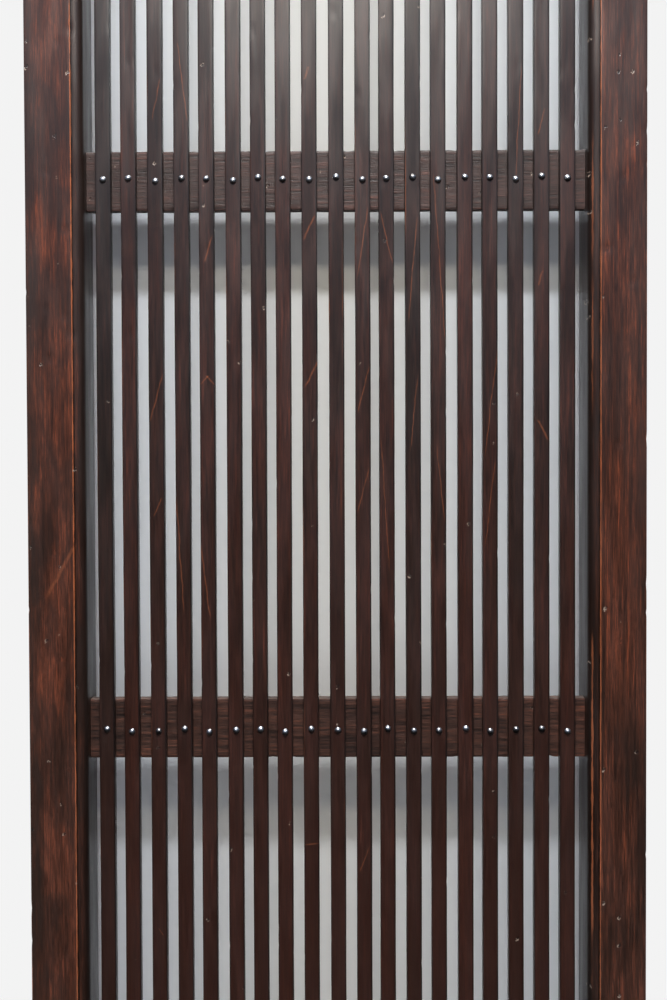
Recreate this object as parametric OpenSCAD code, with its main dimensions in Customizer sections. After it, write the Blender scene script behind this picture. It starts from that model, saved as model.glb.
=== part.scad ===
// Lattice sliding screen: one leaf of a dark-stained softwood lattice door.
// The stiles and rails carry a run moulding that is mitred at the corners.
// Nineteen slats stand in front of two cross rails, with a nail at each crossing.
// X runs along the leaf, Z is up, and the moulded front faces -Y.
// The origin is at the middle of the leaf, on the sill rail that the wheels stand on.

/* [Leaf] */
// Width of the leaf over its stiles
leaf_w = 600; // [480:1:900]
// Height of the leaf from the sill rail to the top of the head tongue
leaf_h = 1770; // [1400:1:2400]
// Thickness of the stiles and rails
leaf_t = 40; // [33:0.5:50]
// Gap between the sill rail and the underside of the leaf
sill_gap = 4; // [2:0.5:6]

/* [Frame members] */
// Width of the flat face of a stile
stile_face = 45; // [36:0.5:70]
// Height of the flat face of the bottom rail
bottom_face = 102; // [90:1:200]
// Height of the flat face of the top rail, with the tongue
top_face = 81; // [70:1:140]

/* [Moulding] */
// Width of the moulding along the inner edges
mould_w = 10.5; // [8:0.5:16]
// Depth of the moulding's inner edge below the face
mould_drop = 9.5; // [4:0.5:11]
// Width of the sunk line between the face and the round
quirk_w = 1.2; // [0.8:0.1:2]
// Depth of the sunk line
quirk_d = 2; // [0.8:0.1:3]
// Depth at which the round starts beside the sunk line
round_start = 0.8; // [0.3:0.1:1.5]

/* [Head tongue] */
// Height of the tongue that runs in the head groove
tongue_h = 15; // [10:0.5:20]
// Thickness of the tongue
tongue_t = 20; // [14:0.5:24]

/* [Frame joints] */
// Thickness of the through tenons
tenon_t = 12; // [9:0.5:16]
// Shoulder between a rail's edges and its tenon
tenon_shoulder = 20; // [12:0.5:30]
// Thickness of a tenon wedge at the stile's outer edge
wedge_t = 5; // [3:0.5:7]
// Thickness of a tenon wedge at its inner end
wedge_tip_t = 1.5; // [1:0.1:2]
// Length of a tenon wedge
wedge_l = 32; // [20:1:34]
// Clearance round glued and housed wood
wood_gap = 0.1; // [0.05:0.05:0.3]

/* [Slats] */
// Number of upright slats
slat_count = 19; // [9:1:23]
// Width of a slat
slat_w = 15; // [9:0.5:18]
// Thickness of a slat
slat_t = 7; // [5:0.5:9]
// Depth of the slats' front faces behind the moulding's inner edge
slat_set = 0.5; // [0:0.5:5]
// Width of the bevel along a slat's front edges
slat_bevel = 0.6; // [0.2:0.1:1]
// Depth of the pockets that hold the slats' ends
pocket_d = 10; // [6:0.5:14]
// Room left above a slat's top end
pocket_slack = 0.8; // [0.3:0.1:0.9]
// Furthest that a hand-set slat stands off its even spacing
slat_drift = 1; // [0:0.1:1.5]

/* [Cross rails] */
// Height of a cross rail
nuki_h = 58; // [40:1:90]
// Thickness of a cross rail
nuki_t = 10; // [8:0.5:14]
// Length of a cross rail's stub tenon
stub_l = 20; // [12:0.5:26]
// Shoulder above and below a stub tenon
stub_shoulder = 8; // [4:0.5:14]

/* [Nails] */
// Diameter of a nail's domed head
head_d = 7; // [5:0.1:9]
// Height of a nail's domed head
head_h = 2.4; // [1.5:0.1:3]
// Diameter of a nail's shank
shank_d = 2.4; // [1.8:0.1:3]
// Wood left behind a nail's point
nail_cover = 3; // [2:0.5:5]
// Clearance round a nail's shank
nail_gap = 0.05; // [0.02:0.01:0.1]
// Furthest that a hand-driven nail sits above or below the rail's middle
nail_drift = 1.6; // [0:0.1:3]

/* [Door rollers] */
// Diameter of a wheel
wheel_d = 30; // [24:0.5:36]
// Thickness of a wheel
wheel_t = 9; // [7:0.5:10]
// Depth of the groove in a wheel's rim
groove_d = 3; // [2:0.5:4]
// Diameter of a wheel's axle
axle_d = 5; // [4:0.5:6]
// Running clearance between a wheel and its axle
axle_gap = 0.05; // [0.02:0.01:0.1]
// Distance from the leaf's edge to a wheel's axle
roller_inset = 105; // [95:1:140]
// Sheet thickness of a roller case
case_wall = 1.5; // [1:0.1:2]
// Room round a wheel inside its case
case_room = 2; // [1:0.5:4]
// Side room between a wheel and its case
side_room = 0.5; // [0.3:0.1:1]
// Length of the flange beyond each end of a case
flange_ear = 20; // [16:0.5:26]
// Width of the flange
flange_w = 18; // [16:0.5:22]

/* [Roller screws] */
// Diameter of a screw's shank
screw_d = 3; // [2.5:0.1:3.5]
// Length of a screw
screw_l = 16; // [12:0.5:20]
// Clearance round a screw
screw_gap = 0.05; // [0.02:0.01:0.1]

/* [Hidden] */
slat_names = [for (i = [1:slat_count]) str("slat_", i < 10 ? "0" : "", i)];

$fn = 48;
cut = 1;                                   // overrun of every cutting shape
half_w = leaf_w / 2;
face_y = -leaf_t / 2;                      // front face of the leaf
back_y = leaf_t / 2;
face_x = half_w - stile_face;              // where a stile's flat face ends
open_x = face_x - mould_w;                 // half the width of the opening
bottom_z = sill_gap;                       // underside of the leaf
bottom_face_z = bottom_z + bottom_face;    // top of the bottom rail's flat face
open_z0 = bottom_face_z + mould_w;         // bottom of the opening
top_face_z = leaf_h - top_face;            // bottom of the top rail's flat face
open_z1 = top_face_z - mould_w;            // top of the opening

// Slats and cross rails
slat_y = face_y + mould_drop + slat_set;   // front of the slats
nuki_y = slat_y + slat_t;                  // front of the cross rails
clear_x = (2 * open_x - slat_count * slat_w) / (slat_count + 1);
slat_pitch = clear_x + slat_w;
bay_h = (open_z1 - open_z0 - 2 * nuki_h) / 3;
nuki_z = [open_z0 + 2 * bay_h + nuki_h * 3 / 2, open_z0 + bay_h + nuki_h / 2];
upper = 0;
lower = 1;

// Hand-set places: each slat's share of its drift along X, and a nail's drift along Z
slat_share = [0, -0.5, 0.5, 1, 0, 1, 0, -1, -0.5, 0.5, 1, -1, -0.5, -1, 0, -1, -1, -1, -1];
function slat_x(i) =
    -open_x + clear_x + slat_w / 2 + i * slat_pitch + slat_drift * slat_share[i % 19];
function nail_z(i, row) = nuki_z[row] + nail_drift * sin(i * 131 + row * 77);

shank_l = slat_t + nuki_t - nail_cover;    // length of a nail under its head

// Moulding
round_w = mould_w - quirk_w;
round_drop = mould_drop - round_start;
round_r = (pow(round_w, 2) + pow(round_drop, 2)) / (2 * round_drop);
round_turn = 2 * atan2(round_drop, round_w);
round_steps = 12;

// Tenons
top_tenon_z0 = top_face_z + tenon_shoulder / 2;
top_tenon_z1 = leaf_h - tongue_h - tenon_shoulder;
bottom_tenon_z0 = bottom_z + tenon_shoulder;
bottom_tenon_z1 = bottom_face_z - tenon_shoulder / 2;
wedge_x = half_w - wedge_l;                // inner ends of the wedges

// Rollers
wheel_r = wheel_d / 2;
axle_r = axle_d / 2;
roller_x = half_w - roller_inset;
case_l = wheel_d + 2 * (case_room + case_wall);
case_w = wheel_t + 2 * (side_room + case_wall);
case_top = wheel_d + case_room + case_wall;
flange_l = case_l + 2 * flange_ear;
case_clear = 1.2;                          // room for the riveted axle beside a case
rivet_h = 0.8;                             // height of an axle's riveted ends
rivet_r = axle_r + 1;
rim_w = 1.2;                               // flat rim on each side of the groove
hub_r = axle_r + 3;
hub_h = 0.3;                               // how far a wheel's hub stands out
screw_x = case_l / 2 + flange_ear / 2;
screw_r = screw_d / 2;
screw_head_r = screw_r + case_wall;
screw_tip = 3;
slot_w = 0.8;
slot_d = 0.7;

walnut = [0.24, 0.15, 0.12];
walnut_dark = [0.19, 0.13, 0.11];
walnut_red = [0.29, 0.16, 0.12];
steel_dark = [0.16, 0.16, 0.18];
zinc = [0.66, 0.67, 0.69];
brass = [0.72, 0.56, 0.27];

// ---- Shapes shared by the pieces ----

// Section of a frame member: a flat face with the moulding along one edge.
// u runs from the outer edge to the inner edge, v is the depth from front to back.
module moulded_section(face) {
    polygon(concat(
        [[0, back_y], [0, face_y], [face, face_y], [face, face_y + quirk_d]],
        [[face + quirk_w, face_y + quirk_d]],
        [for (s = [0:round_steps]) let (a = round_turn * s / round_steps)
            [face + quirk_w + round_r * sin(a), face_y + round_start + round_r * (1 - cos(a))]],
        [[face + mould_w, back_y]]
    ));
}

// A prism of the whole leaf's depth, from an outline in X and Z
module through_leaf(outline) {
    translate([0, back_y + cut, 0]) rotate([90, 0, 0])
        linear_extrude(leaf_t + 2 * cut) polygon(outline);
}

// Outline of a wedged mortise or of its wedges, on the +X side.
// edge is the tenon's edge, and out is +1 above the tenon or -1 below it.
function wedge_outline(edge, out, gap) = [
    [wedge_x - gap, edge],
    [half_w + gap, edge],
    [half_w + gap, edge + out * (wedge_t + gap)],
    [wedge_x - gap, edge + out * (wedge_tip_t + gap)]
];

module flat_piece(outline, thick) {
    translate([0, thick / 2, 0]) rotate([90, 0, 0])
        linear_extrude(thick) polygon(outline);
}

// Mortise with flared ends for one through tenon, on the +X side
module wedged_mortise(z0, z1) {
    wide = tenon_t + 2 * wood_gap;
    translate([open_x - cut, -wide / 2, z0 - wood_gap])
        cube([half_w - open_x + 2 * cut, wide, z1 - z0 + 2 * wood_gap]);
    flat_piece(wedge_outline(z0, -1, wood_gap), wide);
    flat_piece(wedge_outline(z1, 1, wood_gap), wide);
    // the flare runs on past the stile's outer edge
    translate([half_w, -wide / 2, z0 - wedge_t - wood_gap])
        cube([cut, wide, z1 - z0 + 2 * (wedge_t + wood_gap)]);
}

// One through tenon, on the +X side
module through_tenon(z0, z1) {
    translate([face_x - cut, -tenon_t / 2, z0])
        cube([stile_face + cut, tenon_t, z1 - z0]);
}

// Rebates that leave the tongue along the head
module head_rebates() {
    for (side = [-1, 1])
        translate([-half_w - cut, side * (tongue_t + leaf_t) / 2 - leaf_t / 2, leaf_h - tongue_h])
            cube([leaf_w + 2 * cut, leaf_t, tongue_h + cut]);
}

// Pockets for the ends of all the slats, from z upwards
module slat_pockets(z, high) {
    for (i = [0:slat_count - 1])
        translate([slat_x(i) - slat_w / 2 - wood_gap, slat_y - wood_gap, z])
            cube([slat_w + 2 * wood_gap, slat_t + 2 * wood_gap, high]);
}

// Drilling for one nail: it starts at the slat's face and stops inside the rail
module nail_hole(i, row) {
    translate([slat_x(i), slat_y - cut, nail_z(i, row)]) rotate([-90, 0, 0])
        cylinder(r = shank_d / 2 + nail_gap, h = shank_l + nail_gap + cut);
}

module one_nail(i, row) {
    dome_r = (pow(head_d / 2, 2) + pow(head_h, 2)) / (2 * head_h);
    tip_l = shank_d;
    translate([slat_x(i), slat_y, nail_z(i, row)]) rotate([90, 0, 0]) {
        intersection() {
            translate([0, 0, head_h - dome_r]) sphere(r = dome_r);
            cylinder(d = head_d + cut, h = head_h + cut);
        }
        translate([0, 0, tip_l - shank_l]) cylinder(d = shank_d, h = shank_l - tip_l);
        translate([0, 0, -shank_l]) cylinder(d1 = shank_d / 5, d2 = shank_d, h = tip_l);
    }
}

module screw_pilot() {
    cylinder(r = screw_r + screw_gap, h = screw_l + screw_gap);
}

// ---- Frame ----

module stile() {
    outline = [
        [half_w, bottom_z], [face_x, bottom_z], [face_x, bottom_face_z], [open_x, open_z0],
        [open_x, open_z1], [face_x, top_face_z], [face_x, leaf_h], [half_w, leaf_h]
    ];
    difference() {
        intersection() {
            translate([half_w, 0, bottom_z]) mirror([1, 0, 0])
                linear_extrude(leaf_h - bottom_z) moulded_section(stile_face);
            through_leaf(outline);
        }
        head_rebates();
        wedged_mortise(top_tenon_z0, top_tenon_z1);
        wedged_mortise(bottom_tenon_z0, bottom_tenon_z1);
        for (z = nuki_z)
            translate([open_x - cut, nuki_y - wood_gap, z - nuki_h / 2 + stub_shoulder - wood_gap])
                cube([
                    stub_l + pocket_slack + cut,
                    nuki_t + 2 * wood_gap,
                    nuki_h - 2 * (stub_shoulder - wood_gap)
                ]);
    }
}

module stile_left() {
    color(walnut) mirror([1, 0, 0]) stile();
}

module stile_right() {
    color(walnut) stile();
}

// A rail lies with its moulding towards the opening: up on the bottom rail, down on the top rail
module rail_blank(face) {
    rotate([0, -90, 0]) translate([0, 0, -half_w])
        linear_extrude(leaf_w) moulded_section(face);
}

module top_rail() {
    outline = [
        [-face_x, leaf_h], [-face_x, top_face_z], [-open_x, open_z1],
        [open_x, open_z1], [face_x, top_face_z], [face_x, leaf_h]
    ];
    color(walnut) difference() {
        union() {
            intersection() {
                translate([0, 0, leaf_h]) mirror([0, 0, 1]) rail_blank(top_face);
                through_leaf(outline);
            }
            through_tenon(top_tenon_z0, top_tenon_z1);
            mirror([1, 0, 0]) through_tenon(top_tenon_z0, top_tenon_z1);
        }
        head_rebates();
        slat_pockets(open_z1 - cut, pocket_d + cut);
    }
}

module bottom_rail() {
    outline = [
        [-face_x, bottom_z], [-face_x, bottom_face_z], [-open_x, open_z0],
        [open_x, open_z0], [face_x, bottom_face_z], [face_x, bottom_z]
    ];
    color(walnut) difference() {
        union() {
            intersection() {
                translate([0, 0, bottom_z]) rail_blank(bottom_face);
                through_leaf(outline);
            }
            through_tenon(bottom_tenon_z0, bottom_tenon_z1);
            mirror([1, 0, 0]) through_tenon(bottom_tenon_z0, bottom_tenon_z1);
        }
        slat_pockets(open_z0 - pocket_d, pocket_d + cut);
        for (side = [-1, 1]) translate([side * roller_x, 0, 0]) roller_pocket();
    }
}

module tenon_wedges() {
    color(walnut_red) for (side = [0, 1]) mirror([side, 0, 0]) {
        flat_piece(wedge_outline(top_tenon_z1, 1, 0), tenon_t);
        flat_piece(wedge_outline(top_tenon_z0, -1, 0), tenon_t);
        flat_piece(wedge_outline(bottom_tenon_z1, 1, 0), tenon_t);
        flat_piece(wedge_outline(bottom_tenon_z0, -1, 0), tenon_t);
    }
}

// ---- Lattice ----

module cross_rail(row) {
    z = nuki_z[row];
    color(walnut_dark) difference() {
        union() {
            translate([-open_x, nuki_y, z - nuki_h / 2]) cube([2 * open_x, nuki_t, nuki_h]);
            translate([-open_x - stub_l, nuki_y, z - nuki_h / 2 + stub_shoulder])
                cube([2 * (open_x + stub_l), nuki_t, nuki_h - 2 * stub_shoulder]);
        }
        for (i = [0:slat_count - 1]) nail_hole(i, row);
    }
}

module cross_rail_upper() {
    cross_rail(upper);
}

module cross_rail_lower() {
    cross_rail(lower);
}

module slat(i) {
    half = slat_w / 2;
    outline = [
        [-half, slat_t], [-half, slat_bevel], [slat_bevel - half, 0],
        [half - slat_bevel, 0], [half, slat_bevel], [half, slat_t]
    ];
    foot = open_z0 - pocket_d;
    color(i % 2 == 0 ? walnut_dark : walnut_red) difference() {
        translate([slat_x(i), slat_y, foot])
            linear_extrude(open_z1 + pocket_d - pocket_slack - foot) polygon(outline);
        for (row = [upper, lower]) nail_hole(i, row);
    }
}

module nail_row(row) {
    color(steel_dark) for (i = [0:slat_count - 1]) one_nail(i, row);
}

module nails_upper() {
    nail_row(upper);
}

module nails_lower() {
    nail_row(lower);
}

// ---- Door rollers, drawn at the middle of the leaf with the sill rail at z = 0 ----

// Room in the bottom rail for a case, its flange and its screws
module roller_pocket() {
    translate([-flange_l / 2 - wood_gap, -flange_w / 2 - wood_gap, bottom_z - cut])
        cube([flange_l + 2 * wood_gap, flange_w + 2 * wood_gap, case_wall + cut]);
    translate([-case_l / 2 - wood_gap, -case_w / 2 - case_clear, bottom_z])
        cube([case_l + 2 * wood_gap, case_w + 2 * case_clear, case_top + wood_gap - bottom_z]);
    for (end = [-1, 1]) translate([end * screw_x, 0, bottom_z]) screw_pilot();
}

module roller_case() {
    color(zinc) difference() {
        union() {
            translate([-flange_l / 2, -flange_w / 2, bottom_z])
                cube([flange_l, flange_w, case_wall]);
            translate([-case_l / 2, -case_w / 2, bottom_z])
                cube([case_l, case_w, case_top - bottom_z]);
        }
        translate([case_wall - case_l / 2, case_wall - case_w / 2, bottom_z - cut])
            cube([case_l - 2 * case_wall, case_w - 2 * case_wall, case_top - case_wall - bottom_z + cut]);
        translate([0, 0, wheel_r]) rotate([90, 0, 0])
            cylinder(r = axle_r, h = case_w + 2 * cut, center = true);
        for (end = [-1, 1]) translate([end * screw_x, 0, bottom_z])
            cylinder(r1 = screw_head_r + screw_gap, r2 = screw_r + screw_gap, h = case_wall);
    }
}

module roller_axle() {
    color(steel_dark) translate([0, 0, wheel_r]) rotate([90, 0, 0]) {
        cylinder(r = axle_r, h = case_w, center = true);
        for (end = [0, 1]) mirror([0, 0, end]) translate([0, 0, case_w / 2])
            cylinder(r1 = rivet_r, r2 = axle_r, h = rivet_h);
    }
}

module roller_wheel() {
    half = wheel_t / 2;
    profile = [
        [axle_r + axle_gap, -half - hub_h], [hub_r, -half - hub_h], [hub_r, -half],
        [wheel_r, -half], [wheel_r, rim_w - half], [wheel_r - groove_d, 0],
        [wheel_r, half - rim_w], [wheel_r, half],
        [hub_r, half], [hub_r, half + hub_h], [axle_r + axle_gap, half + hub_h]
    ];
    color(brass) translate([0, 0, wheel_r]) rotate([90, 0, 0])
        rotate_extrude() polygon(profile);
}

module roller_screw_pair() {
    color(zinc) for (end = [-1, 1]) translate([end * screw_x, 0, bottom_z]) difference() {
        union() {
            cylinder(r1 = screw_head_r, r2 = screw_r, h = case_wall);
            cylinder(r = screw_r, h = screw_l - screw_tip);
            translate([0, 0, screw_l - screw_tip])
                cylinder(r1 = screw_r, r2 = screw_r / 5, h = screw_tip);
        }
        translate([-screw_head_r - cut, -slot_w / 2, -cut])
            cube([2 * (screw_head_r + cut), slot_w, slot_d + cut]);
    }
}

module roller_case_left() {
    translate([-roller_x, 0, 0]) roller_case();
}

module roller_case_right() {
    translate([roller_x, 0, 0]) roller_case();
}

module roller_axle_left() {
    translate([-roller_x, 0, 0]) roller_axle();
}

module roller_axle_right() {
    translate([roller_x, 0, 0]) roller_axle();
}

module roller_wheel_left() {
    translate([-roller_x, 0, 0]) roller_wheel();
}

module roller_wheel_right() {
    translate([roller_x, 0, 0]) roller_wheel();
}

module roller_screws_left() {
    translate([-roller_x, 0, 0]) roller_screw_pair();
}

module roller_screws_right() {
    translate([roller_x, 0, 0]) roller_screw_pair();
}

stile_left();
stile_right();
top_rail();
bottom_rail();
tenon_wedges();
cross_rail_upper();
cross_rail_lower();
for (i = [0:slat_count - 1]) slat(i);
nails_upper();
nails_lower();
roller_case_left();
roller_case_right();
roller_axle_left();
roller_axle_right();
roller_wheel_left();
roller_wheel_right();
roller_screws_left();
roller_screws_right();
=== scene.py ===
"""Looks of the lattice sliding screen: one leaf of dark-stained softwood, with its rollers.

Metres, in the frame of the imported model: X runs along the leaf, Z is up, and the moulded
front faces -Y. The wood and the nails are new pieces. The wedges and the roller parts are the
packed ones.
"""

import math
import random

import bmesh
import bpy
from mathutils import Matrix, Vector


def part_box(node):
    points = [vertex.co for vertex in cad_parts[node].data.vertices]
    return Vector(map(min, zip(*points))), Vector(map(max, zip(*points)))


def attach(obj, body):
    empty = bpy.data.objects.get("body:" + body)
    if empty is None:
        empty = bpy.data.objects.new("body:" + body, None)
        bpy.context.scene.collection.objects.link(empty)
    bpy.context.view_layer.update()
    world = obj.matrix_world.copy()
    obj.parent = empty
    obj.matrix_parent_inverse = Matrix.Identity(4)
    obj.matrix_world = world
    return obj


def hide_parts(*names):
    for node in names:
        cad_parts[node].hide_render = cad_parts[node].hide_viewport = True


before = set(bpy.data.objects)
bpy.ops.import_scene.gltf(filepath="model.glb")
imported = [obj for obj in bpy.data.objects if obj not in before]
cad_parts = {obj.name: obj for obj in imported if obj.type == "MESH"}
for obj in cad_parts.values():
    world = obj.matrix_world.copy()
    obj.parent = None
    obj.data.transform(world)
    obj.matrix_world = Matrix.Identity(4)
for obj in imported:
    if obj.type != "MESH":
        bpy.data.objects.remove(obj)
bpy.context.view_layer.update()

# ---- Sizes: read from the frame, or the joiner's own values ----

MM = 0.001
SLAT_COUNT = sum(name.startswith("slat_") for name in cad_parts)

stile_low, stile_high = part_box("stile_right")
HALF_W = stile_high.x                       # half the leaf's width
OPEN_X = stile_low.x                        # half the opening's width
FACE_Y = stile_low.y                        # front face of the leaf
BACK_Y = stile_high.y
BOTTOM_Z = stile_low.z
TOP_Z = stile_high.z
OPEN_Z0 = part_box("bottom_rail")[1].z        # bottom of the opening
OPEN_Z1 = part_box("top_rail")[0].z           # top of the opening
RAIL_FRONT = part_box("cross_rail_upper")[0].y
slat_low, slat_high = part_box("slat_01")
SLAT_HALF = (slat_high.x - slat_low.x) / 2  # half a slat's width

MOULD_W = 10.5 * MM                         # width of the run moulding
MOULD_DROP = 9.5 * MM                       # depth of its inner edge
QUIRK_W = 1.2 * MM                          # sunk line beside the flat face
QUIRK_D = 2 * MM
ROUND_START = 0.8 * MM                      # depth at which the round starts
TONGUE_H = 15 * MM
TONGUE_T = 20 * MM
TENON_T = 12 * MM
WOOD_GAP = 0.1 * MM

FACE_X = OPEN_X + MOULD_W                   # where a stile's flat face ends
FACE_Z0 = OPEN_Z0 - MOULD_W                 # top of the bottom rail's flat face
FACE_Z1 = OPEN_Z1 + MOULD_W                 # bottom of the top rail's flat face
ROUND_W = MOULD_W - QUIRK_W
ROUND_DROP = MOULD_DROP - ROUND_START
ROUND_R = (ROUND_W ** 2 + ROUND_DROP ** 2) / (2 * ROUND_DROP)
ROUND_TURN = 2 * math.atan2(ROUND_DROP, ROUND_W)

OUTER_ARRIS = 0.9 * MM                      # worn radius of the outer arrises
WORN_ARRIS = 0.5 * MM                       # worn radius beside the quirk
QUARTER = math.pi / 2
OVERRUN = 1 * MM                            # how far a cutter runs past what it cuts

WEDGE_T = 5 * MM
WEDGE_TIP_T = 1.5 * MM
WEDGE_L = 32 * MM
TENON_SHOULDER = 20 * MM
TOP_TENON = (FACE_Z1 + TENON_SHOULDER / 2, TOP_Z - TONGUE_H - TENON_SHOULDER)
BOTTOM_TENON = (BOTTOM_Z + TENON_SHOULDER, FACE_Z0 - TENON_SHOULDER / 2)
STUB_SHOULDER = 8 * MM
POCKET_D = 10 * MM
STUB_SLACK = 0.8 * MM                       # room past a cross rail's stub
FLANGE_EAR = 20 * MM                        # a roller case's flange, beyond each end of the case
FLANGE_T = 1.5 * MM
CASE_ROOM = 0.4 * MM                        # room beside a roller's axle
SCREW_HEAD_R = 3 * MM
PILOT_R = 1.6 * MM                          # radius of the holes for the rollers' screws

HEAD_D = 7 * MM                             # a nail's domed head
HEAD_H = 2.4 * MM
SHANK_D = 2.4 * MM
SHANK_L = 14 * MM
NAIL_DRIFT = 1.6 * MM                       # how far hand-driven nails leave the rail's middle

ROWS = {"upper": 0, "lower": 77}            # each row of nails, and the phase of its drift


def slat_name(number):
    return f"slat_{number:02d}"


def slat_middle(number):
    low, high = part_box(slat_name(number))
    return (low.x + high.x) / 2


def rail_middle(row):
    low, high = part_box(f"cross_rail_{row}")
    return (low.z + high.z) / 2


def nail_height(number, row):
    """Height of the nail through a slat, numbered from 1, in the upper or the lower row."""
    turn = (number - 1) * 131 + ROWS[row]
    return rail_middle(row) + NAIL_DRIFT * math.sin(math.radians(turn))


# ---- Modelling helpers ----

def nothing_selected():
    """Leaves edit mode and deselects everything."""
    if bpy.context.object is not None and bpy.context.object.mode != "OBJECT":
        bpy.ops.object.mode_set(mode="OBJECT")
    bpy.ops.object.select_all(action="DESELECT")


def only(piece):
    """Makes one piece the selected and active one."""
    nothing_selected()
    piece.select_set(True)
    bpy.context.view_layer.objects.active = piece


def named(name):
    piece = bpy.context.object
    piece.name = name
    piece.data.name = name
    return piece


def block(name, low, high):
    """A primitive cube, added at its size and place."""
    nothing_selected()
    low, high = Vector(low), Vector(high)
    bpy.ops.mesh.primitive_cube_add(size=1, location=(low + high) / 2, scale=high - low)
    bpy.ops.object.transform_apply(location=True, rotation=True, scale=True)
    return named(name)


def pick(piece, kind, test):
    """In edit mode, selects the parts of one kind that pass the test.

    A vertex is tested by its place, an edge by its middle and direction, and a face by its
    middle and normal.
    """
    bpy.ops.mesh.select_mode(type=kind)
    bpy.ops.mesh.select_all(action="DESELECT")
    mesh = bmesh.from_edit_mesh(piece.data)
    if kind == "VERT":
        for vert in mesh.verts:
            vert.select_set(test(vert.co))
    elif kind == "EDGE":
        for edge in mesh.edges:
            start, end = edge.verts[0].co, edge.verts[1].co
            edge.select_set(test((start + end) / 2, end - start))
    else:
        for face in mesh.faces:
            face.select_set(test(face.calc_center_median(), face.normal))
    mesh.select_flush_mode()
    bmesh.update_edit_mesh(piece.data)


def along(direction, axis, length=0.0):
    """Whether an edge runs along one axis and is longer than a length."""
    return abs(direction[axis]) > max(length, 0.99 * direction.length)


def face_outwards(piece):
    only(piece)
    bpy.ops.object.mode_set(mode="EDIT")
    bpy.ops.mesh.select_all(action="SELECT")
    bpy.ops.mesh.remove_doubles(threshold=0.001 * MM)
    bpy.ops.mesh.normals_make_consistent(inside=False)
    bpy.ops.object.mode_set(mode="OBJECT")


def outline_prism(name, place, start, runs, length):
    """Draws an outline point by point and extrudes it.

    place turns the outline's own u and v into a point. A run is ("line", (u, v), steps) or
    ("arc", (u, v) of the centre, angle, steps), and the outline closes on its start.
    """
    origin = place(0, 0)
    axis = (place(1, 0) - origin).cross(place(0, 1) - origin)
    nothing_selected()
    bpy.ops.mesh.primitive_plane_add(size=MM, location=place(*start))
    piece = named(name)
    bpy.ops.object.transform_apply(location=True, rotation=True, scale=True)
    bpy.ops.object.mode_set(mode="EDIT")
    bpy.ops.mesh.select_mode(type="VERT")
    bpy.ops.mesh.select_all(action="SELECT")
    bpy.ops.mesh.merge(type="CENTER")
    here = Vector(start)
    for kind, goal, *rest in runs:
        goal = Vector(goal)
        if kind == "line":
            steps = rest[0]
            shift = (place(*goal) - place(*here)) / steps
            for _ in range(steps):
                bpy.ops.mesh.extrude_region_move(TRANSFORM_OT_translate={"value": shift})
            here = goal
        else:
            angle, steps = rest
            bpy.ops.mesh.spin(steps=steps, angle=-angle, center=place(*goal), axis=axis)
            here = goal + Matrix.Rotation(angle, 2) @ (here - goal)
    bpy.ops.mesh.select_all(action="SELECT")
    bpy.ops.mesh.remove_doubles(threshold=0.01 * MM)
    bpy.ops.mesh.select_all(action="SELECT")
    bpy.ops.mesh.edge_face_add()
    bpy.ops.mesh.select_all(action="SELECT")
    bpy.ops.mesh.extrude_region_move(TRANSFORM_OT_translate={"value": length})
    bpy.ops.object.mode_set(mode="OBJECT")
    face_outwards(piece)
    return piece


def ring_cuts(piece, axis, spacing):
    """Cuts the long edges along an axis into even lengths, in passes of up to 20 cuts."""
    only(piece)
    places = [vert.co[axis] for vert in piece.data.vertices]
    length = max(places) - min(places)
    bpy.ops.object.mode_set(mode="EDIT")
    while length > 1.5 * spacing:
        cuts = min(20, round(length / spacing) - 1)
        pick(piece, "EDGE", lambda middle, way: along(way, axis, 0.9 * length))
        bpy.ops.mesh.subdivide(number_cuts=cuts)
        length /= cuts + 1
    bpy.ops.object.mode_set(mode="OBJECT")


def apply_modifier(piece, kind, **values):
    only(piece)
    modifier = piece.modifiers.new(kind.lower(), kind)
    for name, value in values.items():
        setattr(modifier, name, value)
    bpy.ops.object.modifier_apply(modifier=modifier.name)


def cut_away(piece, *cutters):
    """Takes the cutters' shapes out of a piece, and deletes them."""
    for cutter in cutters:
        apply_modifier(piece, "BOOLEAN", operation="DIFFERENCE", object=cutter, solver="EXACT")
        bpy.data.meshes.remove(cutter.data)


def add_on(piece, extra):
    """Makes one solid of a piece and an extra shape."""
    apply_modifier(piece, "BOOLEAN", operation="UNION", object=extra, solver="EXACT")
    bpy.data.meshes.remove(extra.data)


def joined(name, parts):
    nothing_selected()
    for part in parts:
        part.select_set(True)
    bpy.context.view_layer.objects.active = parts[0]
    bpy.ops.object.join()
    return named(name)


def hand_planed(piece, direction, depth, reach):
    """Leaves the slow waves of a hand plane on a piece."""
    waves = bpy.data.textures.new("plane waves", "CLOUDS")
    waves.noise_scale = reach
    apply_modifier(
        piece, "DISPLACE", texture=waves, direction=direction, strength=depth, mid_level=0.5
    )


def dent(piece, place, push, reach):
    """Presses a small hollow into a piece, round the point nearest to a place."""
    only(piece)
    bpy.ops.object.mode_set(mode="EDIT")
    bpy.ops.mesh.select_mode(type="VERT")
    bpy.ops.mesh.select_all(action="DESELECT")
    mesh = bmesh.from_edit_mesh(piece.data)
    min(mesh.verts, key=lambda vert: (vert.co - place).length_squared).select_set(True)
    bmesh.update_edit_mesh(piece.data)
    bpy.ops.transform.translate(
        value=push,
        use_proportional_edit=True,
        proportional_edit_falloff="SMOOTH",
        proportional_size=reach,
    )
    bpy.ops.object.mode_set(mode="OBJECT")


def smooth(piece, angle=32):
    only(piece)
    bpy.ops.object.shade_smooth_by_angle(angle=math.radians(angle))


# ---- Frame members ----

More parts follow.
